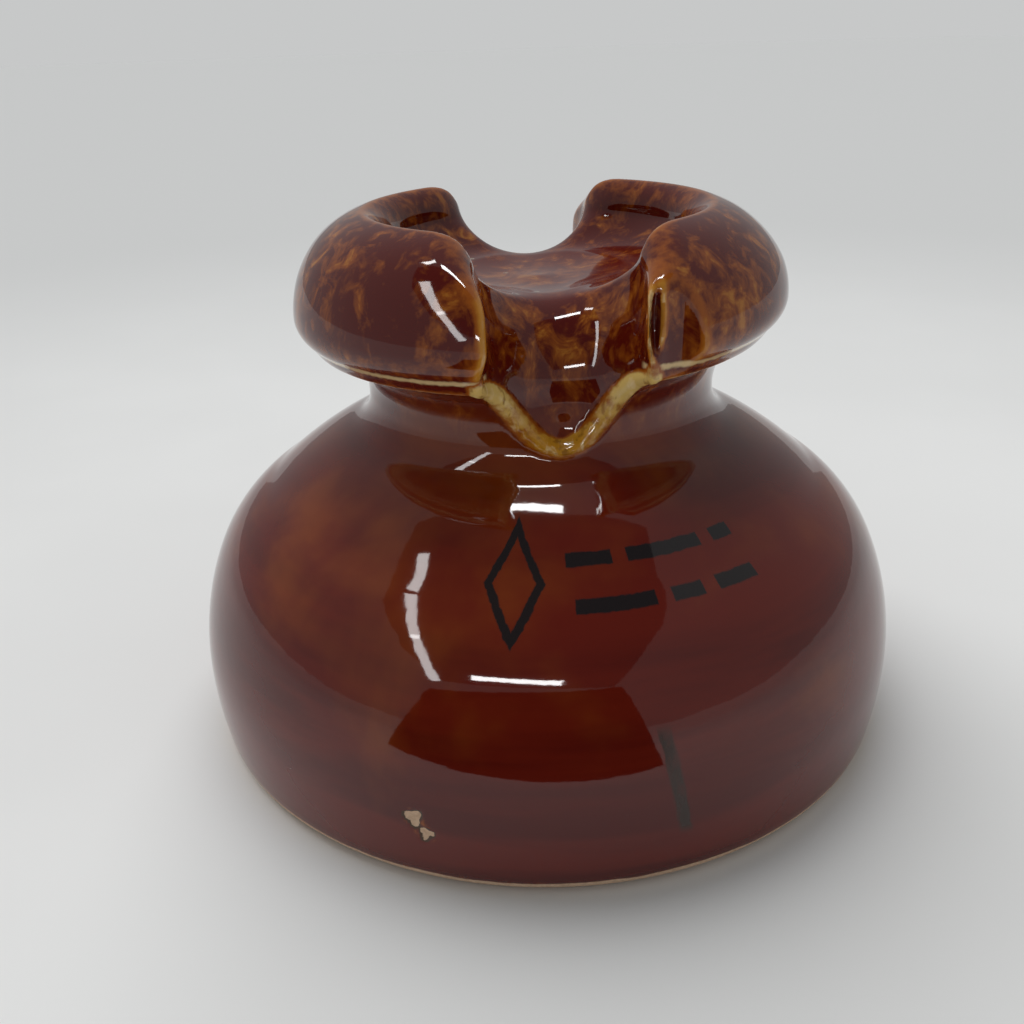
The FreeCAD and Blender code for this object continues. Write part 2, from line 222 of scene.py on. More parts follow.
def channel_depth(x, y, z):
    """How far inside the channel a point is, negative in the porcelain round it."""
    out = np.abs(y) - CHANNEL_LEVEL
    up = z - HINGE_HEIGHT
    pinch = CHANNEL_PINCH * step_up(100, 107, z) * step_up(42, 53, np.abs(y))
    bend = np.hypot(np.maximum(out, 0), up) - CHANNEL_TURN
    rise = np.where(out > 0, bend, z - CROWN_FLOOR)
    round_part = CHANNEL_RADIUS - np.hypot(x, rise - CHANNEL_RADIUS)
    tube = np.where(rise < CHANNEL_RADIUS, round_part, CHANNEL_RADIUS - np.abs(x))
    beyond = np.minimum(out - CHANNEL_TURN - CHANNEL_RADIUS, 0)
    ball = CHANNEL_RADIUS - np.sqrt(x**2 + beyond**2 + up**2)
    return np.where((up < 0) & (out > 0), ball, tube) - pinch


# The head leans to -X, as a slope.
HEAD_LEAN = 0.024


def lean(z):
    """How much the lip and bulge tip, fading towards the neck and the crest."""
    return HEAD_LEAN * step_up(84, 97, z) * (1 - 0.85 * step_up(106, 122, z))


def form_and_channel(x, y, z):
    return turned_form(np.hypot(x, y), z - lean(z) * x), channel_depth(x, y, z)


# Rolled bead where the channel's mouth meets the neck: how deep its middle lies under both
# surfaces, its radius, the height it ends at, its creases, and how softly it meets the head.
BEAD_DEPTH = 1.0
BEAD_RADIUS = 1.95
BEAD_TOP = 99.6
BEAD_CREASE = 0.05
BEAD_BLEND = 1.5


def bead_line(side):
    """Middle of the bead at one end of the channel: a first guess, moved to its depth in steps."""
    t = np.linspace(-2.0, 2.0, 161)
    z = 97 - CHANNEL_RADIUS * np.cos(t)
    line = np.column_stack([
        CHANNEL_RADIUS * np.sin(t), side * (42 + np.maximum(z - 88, 0)), z])
    for _ in range(14):
        values = np.stack(form_and_channel(*line.T), -1) + BEAD_DEPTH
        slope = np.empty((len(line), 2, 3))
        for axis in range(3):
            shift = np.zeros(3)
            shift[axis] = 0.05
            high = np.stack(form_and_channel(*(line + shift).T), -1)
            low = np.stack(form_and_channel(*(line - shift).T), -1)
            slope[:, :, axis] = (high - low) / 0.1
        move = -np.einsum("nij,nj->ni", np.linalg.pinv(slope, rcond=0.05), values)
        length = np.linalg.norm(move, axis=1, keepdims=True)
        line = line + move * np.minimum(1, 1.5 / np.maximum(length, 1e-9))
    return line[line[:, 2] < BEAD_TOP]


BEADS = [bead_line(-1), bead_line(1)]


def bead_distance(x, y, z):
    """Distance to the nearer bead's middle, and the place along it, far away elsewhere."""
    shape = np.shape(z)
    flat = np.stack([np.ravel(v) for v in (x, y, z)], -1)
    distance, along = np.full(len(flat), 9.0), np.zeros(len(flat))
    for line in BEADS:
        low, high = line.min(0) - 4, line.max(0) + 4
        near = np.flatnonzero(((flat > low) & (flat < high)).all(1))
        run = np.diff(line, axis=0)
        gone = np.r_[0, np.cumsum(np.linalg.norm(run, axis=1))]
        for i in range(0, len(near), 4096):
            rows = near[i:i + 4096]
            offset = flat[rows, None] - line[:-1]
            share = np.clip((offset * run).sum(2) / (run**2).sum(1), 0, 1)
            reach = np.linalg.norm(offset - share[:, :, None] * run, axis=2)
            best = reach.argmin(1)
            pick = np.arange(len(rows))
            distance[rows] = reach[pick, best]
            along[rows] = gone[best] + share[pick, best] * (gone[best + 1] - gone[best])
    return distance.reshape(shape), along.reshape(shape)


def head_field(x, y, z):
    """Signed distance to the head, negative inside."""
    form, channel = form_and_channel(x, y, z)
    edge = CHANNEL_EDGE + CREST_EDGE_EXTRA * step_up(112, 123, z)
    field = smooth_max(form, channel, edge)
    distance, along = bead_distance(x, y, z)
    creases = BEAD_CREASE * np.sin(1.9 * along + 1.4 * np.sin(0.6 * along))
    rope = (BEAD_RADIUS + creases) * (1 - 0.55 * step_up(91.0, 99.5, z))
    field = smooth_min(field, distance - rope, BEAD_BLEND)
    across, out, radius, soft = FLUTE
    field = smooth_max(field, radius - np.hypot(x - across, y - out), soft)
    for centre, half, soft in HOLLOWS:
        reach = np.sqrt(sum(((v - c) / h) ** 2 for v, c, h in zip((x, y, z), centre, half)))
        field = smooth_max(field, (1 - reach) * min(half), soft)
    return field


def slopes(points, reach=0.05):
    """Gradient of the head's field at each point."""
    out = np.empty_like(points)
    for axis in range(3):
        shift = np.zeros(3)
        shift[axis] = reach
        out[:, axis] = head_field(*(points + shift).T) - head_field(*(points - shift).T)
    return out / (2 * reach)


def onto_surface(points, limit):
    """Moves points on to the head's surface, each by no more than the limit."""
    for _ in range(4):
        slope = slopes(points)
        move = -head_field(*points.T)[:, None] * slope / (slope**2).sum(1, keepdims=True)
        length = np.linalg.norm(move, axis=1, keepdims=True)
        points = points + move * np.minimum(1, limit / np.maximum(length, 1e-9))
    return points


HEAD_STEP = 0.8
HEAD_REACH = 60.8
HEAD_LOW = CUT_HEIGHT + 0.5


def head_mesh():
    """Surface net of the head's field, open along its lower edge. Returns points and quads."""
    ax = np.arange(-HEAD_REACH, HEAD_REACH + HEAD_STEP / 2, HEAD_STEP)
    az = np.arange(HEAD_LOW, CAD_HIGH.z / MM + 2 * HEAD_STEP, HEAD_STEP)
    grid = np.stack(np.meshgrid(ax, ax, az, indexing="ij"), -1)
    values = head_field(*np.moveaxis(grid, -1, 0))
    cells = tuple(n - 1 for n in values.shape)
    total, count = np.zeros(cells + (3,)), np.zeros(cells)
    crossings = []
    for axis in range(3):
        a = [slice(None)] * 3
        b = [slice(None)] * 3
        a[axis], b[axis] = slice(None, -1), slice(1, None)
        va, vb = values[tuple(a)], values[tuple(b)]
        crossed = (va < 0) != (vb < 0)
        share = np.where(crossed, va / np.where(crossed, va - vb, 1), 0)
        place = grid[tuple(a)].copy()
        place[..., axis] += share * HEAD_STEP
        place *= crossed[..., None]
        crossings.append((axis, crossed, va < 0))
        others = [i for i in range(3) if i != axis]
        for s in (0, 1):
            for t in (0, 1):
                part = [slice(None)] * 3
                part[others[0]] = slice(s, s + cells[others[0]])
                part[others[1]] = slice(t, t + cells[others[1]])
                total += place[tuple(part)]
                count += crossed[tuple(part)]
    used = count > 0
    index = np.full(cells, -1)
    index[used] = np.arange(used.sum())
    points = total[used] / count[used][:, None]
    quads = []
    for axis, crossed, inside in crossings:
        u, v = [i for i in range(3) if i != axis]
        where = np.argwhere(crossed)
        keep = (where[:, u] > 0) & (where[:, v] > 0)
        keep &= (where[:, u] < cells[u]) & (where[:, v] < cells[v])
        where = where[keep]
        corners = []
        for du, dv in ((-1, -1), (0, -1), (0, 0), (-1, 0)):
            cell = where.copy()
            cell[:, u] += du
            cell[:, v] += dv
            corners.append(index[tuple(cell.T)])
        quad = np.column_stack(corners)
        flip = inside[tuple(where.T)] == (axis == 1)
        quad[flip] = quad[flip][:, ::-1]
        quads.append(quad)
    return points, np.vstack(quads)


def edge_counts(quads):
    """Every quad's edges, where each distinct edge first comes, and how often."""
    edges = np.vstack([quads[:, [i, (i + 1) % 4]] for i in range(4)])
    low = edges.min(1)
    high = edges.max(1)
    _, first, times = np.unique(low * (edges.max() + 1) + high, return_index=True,
                                return_counts=True)
    return edges, first, times


def neighbours_mean(points, pairs):
    """Mean of each point's neighbours along the edges."""
    both = np.vstack([pairs, pairs[:, ::-1]])
    count = np.bincount(both[:, 0], minlength=len(points))
    total = np.column_stack([
        np.bincount(both[:, 0], weights=points[both[:, 1], i], minlength=len(points))
        for i in range(points.shape[1])])
    return total / np.maximum(count, 1)[:, None]


head_points, head_quads = head_mesh()
edges, first, times = edge_counts(head_quads)
pairs = edges[first]
rim_edges = pairs[times == 1]
on_rim = np.zeros(len(head_points), bool)
on_rim[rim_edges.ravel()] = True
head_points = onto_surface(head_points, HEAD_STEP / 2)
for _ in range(3):
    relaxed = neighbours_mean(head_points, pairs)
    head_points[~on_rim] = (0.4 * head_points + 0.6 * relaxed)[~on_rim]
    head_points = onto_surface(head_points, HEAD_STEP / 2)


# ---------------------------------------------------------------- skirt and underside: turned

# Glaze chips on the skirt: azimuth in degrees, height, half width, depth.
CHIPS = [(-113.8, 18.8, 2.3, 0.55), (-112.1, 15.0, 1.9, 0.45)]
CHIP_FULL_DEPTH = 0.5

# The chips' middle, and the degrees either way of it where the mesh has finer columns.
CHIP_AZIMUTH = -113.0
CHIP_SPAN = 5
CHIP_HEIGHT = 17
CHIP_COLUMN_STEP = 0.4
OTHER_COLUMNS = 206

# Widest distance between rings near the chips, elsewhere outside, and underneath, the closest
# distance anywhere, and the turn in radians from ring to ring where the outline curves.
CHIP_SPACING = 0.7
OUTSIDE_SPACING = 1.7
UNDER_SPACING = 4.0
CLOSEST_SPACING = 0.55
RING_TURN = 0.3


def outline_rows(line):
    """Points of the lower outline for the mesh's rings, closer together where it curves."""
    along = np.r_[0, np.cumsum(np.hypot(*np.diff(line, axis=0).T))]
    heading = np.unwrap(np.arctan2(*np.gradient(line, axis=0).T[::-1]))
    bend = np.abs(np.gradient(heading, along)) + 1e-4
    outside = np.arange(len(line)) > np.argmin(line[:, 1] + 1000 * (line[:, 0] < 80))
    by_chips = outside & (np.abs(line[:, 1] - CHIP_HEIGHT) < 7)
    widest = np.where(outside, OUTSIDE_SPACING, UNDER_SPACING)
    widest = np.where(by_chips, CHIP_SPACING, widest)
    spacing = np.clip(RING_TURN / bend, CLOSEST_SPACING, widest)
    spacing = np.convolve(np.pad(spacing, 12, "edge"), np.ones(25) / 25, "valid")
    weight = np.r_[0, np.cumsum(np.diff(along) / spacing[1:])]
    stops = np.interp(np.linspace(0, weight[-1], round(weight[-1]) + 1), weight, along)
    return np.column_stack([np.interp(stops, along, line[:, i]) for i in (0, 1)])


rows = outline_rows(lower_outline)[1:]
fine = CHIP_AZIMUTH + np.arange(-CHIP_SPAN, CHIP_SPAN, CHIP_COLUMN_STEP)
coarse = CHIP_AZIMUTH + np.linspace(CHIP_SPAN, 360 - CHIP_SPAN, OTHER_COLUMNS, endpoint=False)
azimuths = np.radians(np.r_[fine, coarse])
columns = len(azimuths)
rings = np.stack([
    rows[:, :1] * np.cos(azimuths), rows[:, :1] * np.sin(azimuths),
    np.repeat(rows[:, 1:], columns, 1)], -1)

skirt_start = len(head_points)
skirt_points = rings.reshape(-1, 3)
at = np.arange(len(rows) - 1)[:, None] * columns + np.arange(columns)
right = np.arange(len(rows) - 1)[:, None] * columns + (np.arange(columns) + 1) % columns
skirt_quads = np.stack([at, right, right + columns, at + columns], -1).reshape(-1, 4)
crown_point = np.array([[0, 0, lower_outline[0, 1]]])
points = np.vstack([head_points, skirt_points, crown_point])
crown = len(points) - 1
cap = [(crown, skirt_start + (i + 1) % columns, skirt_start + i) for i in range(columns)]


def chain(pieces):
    """Vertex numbers round a closed run of edges, anticlockwise seen from above."""
    links = {}
    for a, b in pieces:
        links.setdefault(a, []).append(b)
        links.setdefault(b, []).append(a)
    start = pieces[0][0]
    loop, last, here = [start], start, links[start][0]
    while here != start:
        loop.append(here)
        step = [n for n in links[here] if n != last]
        last, here = here, step[0]
    x, y = points[loop, 0], points[loop, 1]
    turn = (x * np.roll(y, -1) - y * np.roll(x, -1)).sum()
    return loop if turn > 0 else loop[::-1]


def zip_loops(lower, upper):
    """Triangles between two loops round the neck, facing outward."""
    def angle(i):
        return math.atan2(points[i, 1], points[i, 0])

    near = min(range(len(upper)), key=lambda k: abs(
        math.remainder(angle(upper[k]) - angle(lower[0]), math.tau)))
    upper = upper[near:] + upper[:near]
    base = angle(lower[0])

    def gone(loop, k):
        if k == len(loop):
            return math.tau
        return (angle(loop[k]) - base + 0.05) % math.tau - 0.05

    faces, i, j = [], 0, 0
    while i < len(lower) or j < len(upper):
        a, b = lower[i % len(lower)], upper[j % len(upper)]
        if j >= len(upper) or (i < len(lower) and gone(lower, i + 1) <= gone(upper, j + 1)):
            faces.append((a, lower[(i + 1) % len(lower)], b))
            i += 1
        else:
            faces.append((a, upper[(j + 1) % len(upper)], b))
            j += 1
    return faces


top_ring = list(range(skirt_start + (len(rows) - 1) * columns, skirt_start + len(rows) * columns))
seam = zip_loops(top_ring, chain(rim_edges.tolist()))

# Chips: shallow shell-like scoops in the skirt.
turn_angle = np.degrees(np.arctan2(points[:, 1], points[:, 0]))
radius = np.hypot(points[:, 0], points[:, 1])
sideways = points[:, :2] / np.maximum(radius, 1e-6)[:, None]
chip_depth = np.zeros(len(points))
for azimuth, height, half, depth in CHIPS:
    across = np.radians(turn_angle - azimuth) * radius
    up = points[:, 2] - height
    ragged = 1 + 0.25 * np.sin(3 * np.arctan2(up, across) + azimuth)
    reach = np.hypot(across, up * 0.9) / (half * ragged)
    chip_depth = np.maximum(chip_depth, depth * (1 - step_up(0.45, 1.0, reach)) * (radius > 80))
points[:, :2] -= sideways * chip_depth[:, None]


# ---------------------------------------------------------------- mesh helpers

def mesh_object(name, points_mm, faces):
    mesh = bpy.data.meshes.new(name)
    mesh.from_pydata((np.asarray(points_mm) * MM).tolist(), [], faces)
    mesh.update()
    mesh.polygons.foreach_set("use_smooth", [True] * len(mesh.polygons))
    piece = bpy.data.objects.new(name, mesh)
    bpy.context.scene.collection.objects.link(piece)
    return piece


def store(piece, name, values):
    layer = piece.data.attributes.new(name, "FLOAT", "POINT")
    layer.data.foreach_set("value", np.asarray(values, np.float32))


faces = head_quads.tolist() + (skirt_quads + skirt_start).tolist() + cap + seam
shell = mesh_object("glazed_porcelain", points, faces)

# Exact normals on the head, the mesh's own elsewhere.
normals = np.empty(len(points) * 3, np.float32)
shell.data.vertices.foreach_get("normal", normals)
normals = normals.reshape(-1, 3)
head_normals = slopes(points[:skirt_start])
head_normals /= np.linalg.norm(head_normals, axis=1, keepdims=True)
normals[:skirt_start] = head_normals
shell.data.normals_split_custom_set_from_vertices(normals.tolist())

# How sharply each place curves outward, which is where a running glaze leaves itself thin.
mesh_edges = np.empty(len(shell.data.edges) * 2, int)
shell.data.edges.foreach_get("vertices", mesh_edges)
mesh_edges = mesh_edges.reshape(-1, 2)
start, end = mesh_edges.T
span = points[end] - points[start]
bend = ((normals[end] - normals[start]) * span).sum(1) / np.maximum((span**2).sum(1), 1e-4)
count = np.bincount(mesh_edges.ravel(), minlength=len(points))
sharp = np.bincount(start, bend, len(points)) + np.bincount(end, bend, len(points))
sharp = np.clip(sharp / np.maximum(count, 1), -1, 1)
for _ in range(2):
    sharp = 0.5 * sharp + 0.5 * neighbours_mean(sharp[:, None], mesh_edges)[:, 0]
store(shell, "sharp", sharp)

# How far each place belongs to the bead, less towards its ends, and how deep it is chipped.
band = 1 - step_up(1.1, 2.9, bead_distance(*points.T)[0])
store(shell, "band", band * (1 - 0.6 * step_up(97.0, 100.0, points[:, 2])))
store(shell, "chip", chip_depth / CHIP_FULL_DEPTH)


# ---------------------------------------------------------------- node helpers

class Graph:
    """A material's nodes, with short names for the few kinds used here."""

    def __init__(self, name):
        self.material = bpy.data.materials.new(name)
        self.material.use_nodes = True
        self.tree = self.material.node_tree
        self.shader = self.tree.nodes["Principled BSDF"]
        self.place = self.node("ShaderNodeTexCoord").outputs["Object"]

    def node(self, kind, **settings):
        made = self.tree.nodes.new(kind)
        for key, value in settings.items():
            setattr(made, key, value)
        return made

    def feed(self, socket, value):
        if hasattr(value, "links"):
            self.tree.links.new(value, socket)
        else:
            socket.default_value = value

    def math(self, operation, *values):
        made = self.node("ShaderNodeMath", operation=operation)
        for socket, value in zip(made.inputs, values):
            self.feed(socket, value)
        return made.outputs[0]

    def product(self, first, *others):
        for other in others:
            first = self.math("MULTIPLY", first, other)
        return first

    def weighted(self, *parts):
        """The sum of (value, weight) pairs."""
        total = None
        for value, weight in parts:
            part = value if weight == 1 else self.math("MULTIPLY", value, weight)
            total = part if total is None else self.math("ADD", total, part)
        return total

    def apart(self, value, middle):
        """How far a value is from its middle, either way."""
        return self.math("ABSOLUTE", self.math("SUBTRACT", value, middle))

    def axes(self):
        """The place as x, y and z in millimetres, and its distance from the upright axis."""
        made = self.node("ShaderNodeSeparateXYZ")
        self.feed(made.inputs[0], self.place)
        x, y, z = [self.product(part, 1 / MM) for part in made.outputs]
        squares = self.math("ADD", self.product(x, x), self.product(y, y))
        return x, y, z, self.math("SQRT", squares)

    def reach(self, point):
        """Distance from a point, in millimetres."""
        made = self.node("ShaderNodeVectorMath", operation="DISTANCE")
        self.feed(made.inputs[0], self.place)
        made.inputs[1].default_value = tuple(v * MM for v in point)
        return self.product(made.outputs["Value"], 1 / MM)

    def noise(self, repeats, detail=3.0, rough=0.5, twist=0.0, seed=0.0):
        """Noise that repeats this often a metre along x, y and z."""
        stretch = self.node("ShaderNodeVectorMath", operation="MULTIPLY")
        self.feed(stretch.inputs[0], self.place)
        stretch.inputs[1].default_value = repeats
        made = self.node("ShaderNodeTexNoise", noise_dimensions="4D")
        self.feed(made.inputs["Vector"], stretch.outputs[0])
        for key, value in (("W", seed), ("Scale", 1.0), ("Detail", detail),
                           ("Roughness", rough), ("Distortion", twist)):
            made.inputs[key].default_value = value
        return made.outputs["Fac"]

    def swing(self, repeats, **settings):
        """Noise that swings either way about nothing."""
        return self.math("SUBTRACT", self.noise(repeats, **settings), 0.5)

    def between(self, value, low, high, to_low=0.0, to_high=1.0):
        """A smooth step from to_low at low to to_high at high."""
        made = self.node("ShaderNodeMapRange", interpolation_type="SMOOTHSTEP")
        self.feed(made.inputs["Value"], value)
        made.inputs["From Min"].default_value = low
        made.inputs["From Max"].default_value = high
        made.inputs["To Min"].default_value = to_low
        made.inputs["To Max"].default_value = to_high
        return made.outputs["Result"]

    def mix(self, share, first, second):
        made = self.node("ShaderNodeMix", data_type="RGBA")
        self.feed(made.inputs["Factor"], share)
        for socket, colour in ((made.inputs[6], first), (made.inputs[7], second)):
            self.feed(socket, colour if hasattr(colour, "links") else (*colour, 1.0))
        return made.outputs[2]

    def attribute(self, name):
        return self.node("ShaderNodeAttribute", attribute_name=name).outputs["Fac"]

    def bump(self, height, distance, under=None):
        """Relief of this height in millimetres, over another relief if one is given."""
        made = self.node("ShaderNodeBump")
        self.feed(made.inputs["Height"], height)
        made.inputs["Distance"].default_value = distance * MM
        made.inputs["Strength"].default_value = 1.0
        if under is not None:
            self.feed(made.inputs["Normal"], under)
        return made.outputs["Normal"]

    def surface(self, **sockets):
        for key, value in sockets.items():
            socket = self.shader.inputs[key.replace("_", " ")]
            if isinstance(value, tuple) and len(value) == 3:
                value = (*value, 1.0)
            self.feed(socket, value)
        return self.material


# ---------------------------------------------------------------- glaze

MAHOGANY = (0.130, 0.0092, 0.0030)
OXBLOOD = (0.086, 0.0048, 0.0020)
AMBER = (0.30, 0.074, 0.006)
HONEY = (0.56, 0.245, 0.030)
CREAM = (0.74, 0.54, 0.27)
BISCUIT = (0.72, 0.50, 0.34)
DARK_BISCUIT = (0.56, 0.37, 0.24)
CHIP_EDGE = (0.060, 0.024, 0.008)
BEAD_HONEY = (0.50, 0.225, 0.016)
BEAD_STRAW = (0.66, 0.45, 0.14)
CREASE_BROWN = (0.20, 0.075, 0.008)
INK = (0.006, 0.009, 0.010)
RUB = (0.030, 0.023, 0.017)
DUST = (0.36, 0.30, 0.24)

# Lines where the glaze ran off the head's lip: height and strength.
LIP_LINES = [(100.3, 0.85), (96.8, 0.60)]

# Specks fired into the crown: place, then radius.
SPECKS = [(-14.9, 16.5, 110.8, 0.8), (-7.5, 5.1, 110.0, 1.3), (-2.4, -18.4, 110.0, 0.8),
          (-7.2, -24.1, 110.0, 0.6), (9.6, 1.5, 110.6, 0.9), (-1.6, -37.5, 104.0, 0.6)]

# A plain diamond and two rows of bars stamped in ink on the front, laid out flat as distance
# round a skirt of STAMP_RADIUS and height. The diamond: middle, level, half width and half
# height. Each row: level and thickness, then each bar's start and length.
STAMP_RADIUS = 60
DIAMOND = (-11.5, 62.5, 5.6, 9.0)
BAR_ROWS = [(65.6, 1.9, (-2.0, 9.0), (10.0, 16.0), (29.0, 5.0)),
            (59.4, 1.9, (-1.0, 14.0), (16.0, 6.0), (25.0, 8.5))]
BAR_EDGE = 0.15

# The rubbed streak, laid out the same way round a skirt of RUB_RADIUS: its place at the table,
# and how much it leans back to the left as it climbs.
RUB_RADIUS = 88
RUB_MIDDLE = 22.2
RUB_SLANT = 0.20

GLAZE_ROUGHNESS = 0.045
GLAZE_IOR = 1.50


class Glaze(Graph):
    """The porcelain's material, built up one layer of colour over another."""

    def __init__(self):
        super().__init__("brown_glaze")
        self.x, self.y, self.z, self.outward = self.axes()
        self.azimuth = self.math("ARCTAN2", self.x, self.product(self.y, -1.0))
        self.front = self.between(self.y, -30, -40)
        self.broken = self.swing((420, 420, 420), detail=3, rough=0.6, seed=9.4)
        self.chip = self.attribute("chip")

    def skirt(self):
        """Red-brown with brushed bands, and amber clouds that gather towards the neck."""
        bands = self.noise((11, 11, 75), detail=4, rough=0.55, twist=0.6, seed=1.3)
        patches = self.noise((17, 17, 26), detail=4, rough=0.55, twist=0.9, seed=7.1)
        streaks = self.noise((60, 60, 14), detail=3, rough=0.5, twist=0.4, seed=2.2)
        upper = self.between(self.z, 40, 64)
        glow = self.weighted((patches, 0.7), (streaks, 0.3), (upper, 0.08))
        body = self.mix(self.between(bands, 0.36, 0.62), OXBLOOD, MAHOGANY)
        return self.mix(self.between(glow, 0.52, 0.76, 0.0, 0.40), body, AMBER)

    def head(self):
        """Oxblood mottled with amber and honey, with painted shade making the bowl plainer and
        darker.
        """
        blots = self.noise((190, 190, 150), detail=4, rough=0.62, twist=0.9, seed=3.7)
        clouds = self.noise((46, 46, 40), detail=3, rough=0.5, seed=5.2)
        runs = self.noise((330, 330, 34), detail=2, rough=0.5, twist=0.3, seed=2.4)
        mottle = self.weighted((blots, 0.52), (clouds, 0.32), (runs, 0.16))
        body = self.mix(self.between(mottle, 0.475, 0.60, 0.0, 0.82), OXBLOOD, AMBER)
        body = self.mix(self.between(mottle, 0.56, 0.64, 0.0, 0.45), body, HONEY)
        # Painted shade: the crown's bowl darkens towards mahogany near the axis.
        inside = self.between(self.outward, 30, 22, 0.0, 0.4)
        painted_bowl_shade = self.product(inside, self.between(self.z, 100, 108))
        return self.mix(painted_bowl_shade, body, MAHOGANY)

    def thin_edges(self, body):
        """Paler glaze on sharp edges, broken up along them."""
        sharp = self.attribute("sharp")
        patchy = self.product(self.broken, self.between(sharp, 0.02, 0.07, 0.0, 0.22))
        thin = self.math("ADD", sharp, patchy)
        body = self.mix(self.between(thin, 0.06, 0.18), body, AMBER)
        body = self.mix(self.between(thin, 0.17, 0.34, 0.0, 0.8), body, HONEY)
        return self.mix(self.between(thin, 0.34, 0.55, 0.0, 0.6), body, CREAM)

    def lip_lines(self, body):
        """Two pale lines with a dark one between, where the glaze ran off the head's lip."""
        height = self.weighted((self.z, 1), (self.x, -HEAD_LEAN))
        on_lip = self.between(self.outward, 49.5, 51.5)
        for level, strength in LIP_LINES:
            away = self.weighted((self.apart(height, level), 1), (self.broken, 1.2))
            line = self.product(self.between(away, 0.2, 0.9, strength, 0.0), on_lip)
            body = self.mix(line, body, CREAM)
        return body

    def bead(self, body):
        """The rolled bead: honey below, paler up its arms, with creases and an amber edge."""
        wrinkles = self.noise((520, 520, 300), detail=2, rough=0.6, twist=0.4, seed=6.1)
        bead = self.mix(self.between(self.z, 82, 94), BEAD_HONEY, BEAD_STRAW)
        bead = self.mix(self.between(wrinkles, 0.54, 0.70, 0.0, 0.7), bead, CREASE_BROWN)
        bead = self.mix(self.between(wrinkles, 0.46, 0.30, 0.0, 0.7), bead, CREAM)
        band = self.attribute("band")
        edge = self.weighted((band, 1), (self.broken, 0.7))
        edge = self.product(edge, self.between(band, 0.0, 0.05))
        body = self.mix(self.between(edge, 0.02, 0.30), body, AMBER)
        return self.mix(self.between(edge, 0.28, 0.62), body, bead)

    def specks(self, body):
        for *centre, size in SPECKS:
            away = self.weighted((self.reach(centre), 1), (self.broken, 2.0))
            body = self.mix(self.between(away, size * 0.6, size, 0.85, 0.0), body, DUST)
        return body

    def stamp(self, body):
        """The diamond and the bars in worn ink. They stand for no real mark."""
        along = self.product(self.azimuth, STAMP_RADIUS)
        middle, level, half_wide, half_high = DIAMOND
        reach = self.math("ADD", self.math("DIVIDE", self.apart(along, middle), half_wide),
                          self.math("DIVIDE", self.apart(self.z, level), half_high))
        ring = self.weighted((self.apart(reach, 0.84), 1), (self.broken, 0.2))
        ink = self.between(ring, 0.12, 0.18, 1.0, 0.0)
        for level, thick, *bars in BAR_ROWS:
            rise = self.apart(self.z, level)
            for start, length in bars:
                run = self.apart(along, start + length / 2)
                run = self.math("SUBTRACT", run, (length - thick) / 2)
                away = self.weighted((self.math("MAXIMUM", run, rise), 1), (self.broken, 0.6))
                bar = self.between(away, thick / 2 - BAR_EDGE, thick / 2 + BAR_EDGE, 1.0, 0.0)
                ink = self.math("MAXIMUM", ink, bar)
        return self.mix(self.product(ink, self.front, 0.94), body, INK)

    def rub_mark(self):
        """Where the streak low on the front has been rubbed."""
        smear = self.noise((260, 260, 110), detail=3, rough=0.7, seed=3.3)
        place = self.weighted((self.azimuth, RUB_RADIUS), (self.z, RUB_SLANT))
        swing = self.math("SUBTRACT", smear, 0.5)
        away = self.weighted((self.apart(place, RUB_MIDDLE), 1), (swing, 2.4))
        return self.product(self.between(away, 1.0, 1.8, 1.0, 0.0),
                            self.between(self.z, 13.5, 16.5), self.between(self.z, 40, 37),
                            self.front, self.between(smear, 0.30, 0.55, 0.5, 1.0))

    def bare_clay(self):
        """Where the biscuit shows: under the glaze line at the rim, and in the chips."""
        ragged = self.swing((90, 90, 90), detail=4, rough=0.6, seed=4.1)
        line = self.weighted((self.z, 1), (ragged, 1.6))
        rim = self.between(line, 3.2, 3.7, 1.0, 0.0)
        flaked = self.math("ADD", self.product(self.broken, 3.0), 1.0)
        flaked = self.product(self.chip, flaked)
        return self.math("MAXIMUM", rim, self.between(flaked, 0.40, 0.55))

    def finished(self):
        body = self.mix(self.between(self.z, 78, 100), self.skirt(), self.head())
        for layer in (self.thin_edges, self.lip_lines, self.bead, self.specks, self.stamp):
            body = layer(body)
        rub = self.rub_mark()
        body = self.mix(self.product(rub, 0.85), body, RUB)
        bare = self.bare_clay()
        grit = self.noise((900, 900, 900), detail=2, rough=0.7, seed=8.8)
        clay = self.mix(self.between(grit, 0.30, 0.75), DARK_BISCUIT, BISCUIT)
        body = self.mix(self.between(self.chip, 0.04, 0.22), body, CHIP_EDGE)
        body = self.mix(bare, body, clay)

        # Relief: a faint orange peel and brush lines in the glaze, and grit in the clay.
        peel = self.noise((260, 260, 260), detail=2, rough=0.5, seed=6.6)
        strokes = self.noise((16, 16, 300), detail=2, rough=0.5, twist=0.2, seed=1.9)
        normal = self.bump(strokes, 0.015, under=self.bump(peel, 0.02))
        normal = self.bump(self.product(grit, bare), 0.1, under=normal)
        rough = self.weighted((bare, 0.62), (rub, 0.25))
        rough = self.math("ADD", rough, GLAZE_ROUGHNESS)
        return self.surface(Base_Color=body, Roughness=rough, Normal=normal, IOR=GLAZE_IOR)


shell.data.materials.append(Glaze().finished())
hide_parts("porcelain_shell")
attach(shell, "root")


# ---------------------------------------------------------------- the other CAD pieces

def coarse_material(name, dark, light, repeats, rough, relief, metallic=0.0):
    """Two colours in large and small grains, with relief in millimetres."""
    g = Graph(name)
    large = g.noise((repeats,) * 3, detail=5, rough=0.6, seed=1.0)
    small = g.noise((repeats * 6,) * 3, detail=3, rough=0.7, seed=2.0)
    both = g.weighted((large, 0.6), (small, 0.4))
    return g.surface(
        Base_Color=g.mix(g.between(both, 0.35, 0.65), dark, light),
        Roughness=g.between(both, 0.3, 0.7, rough, min(1.0, rough + 0.18)),
        Metallic=metallic, Normal=g.bump(both, relief))


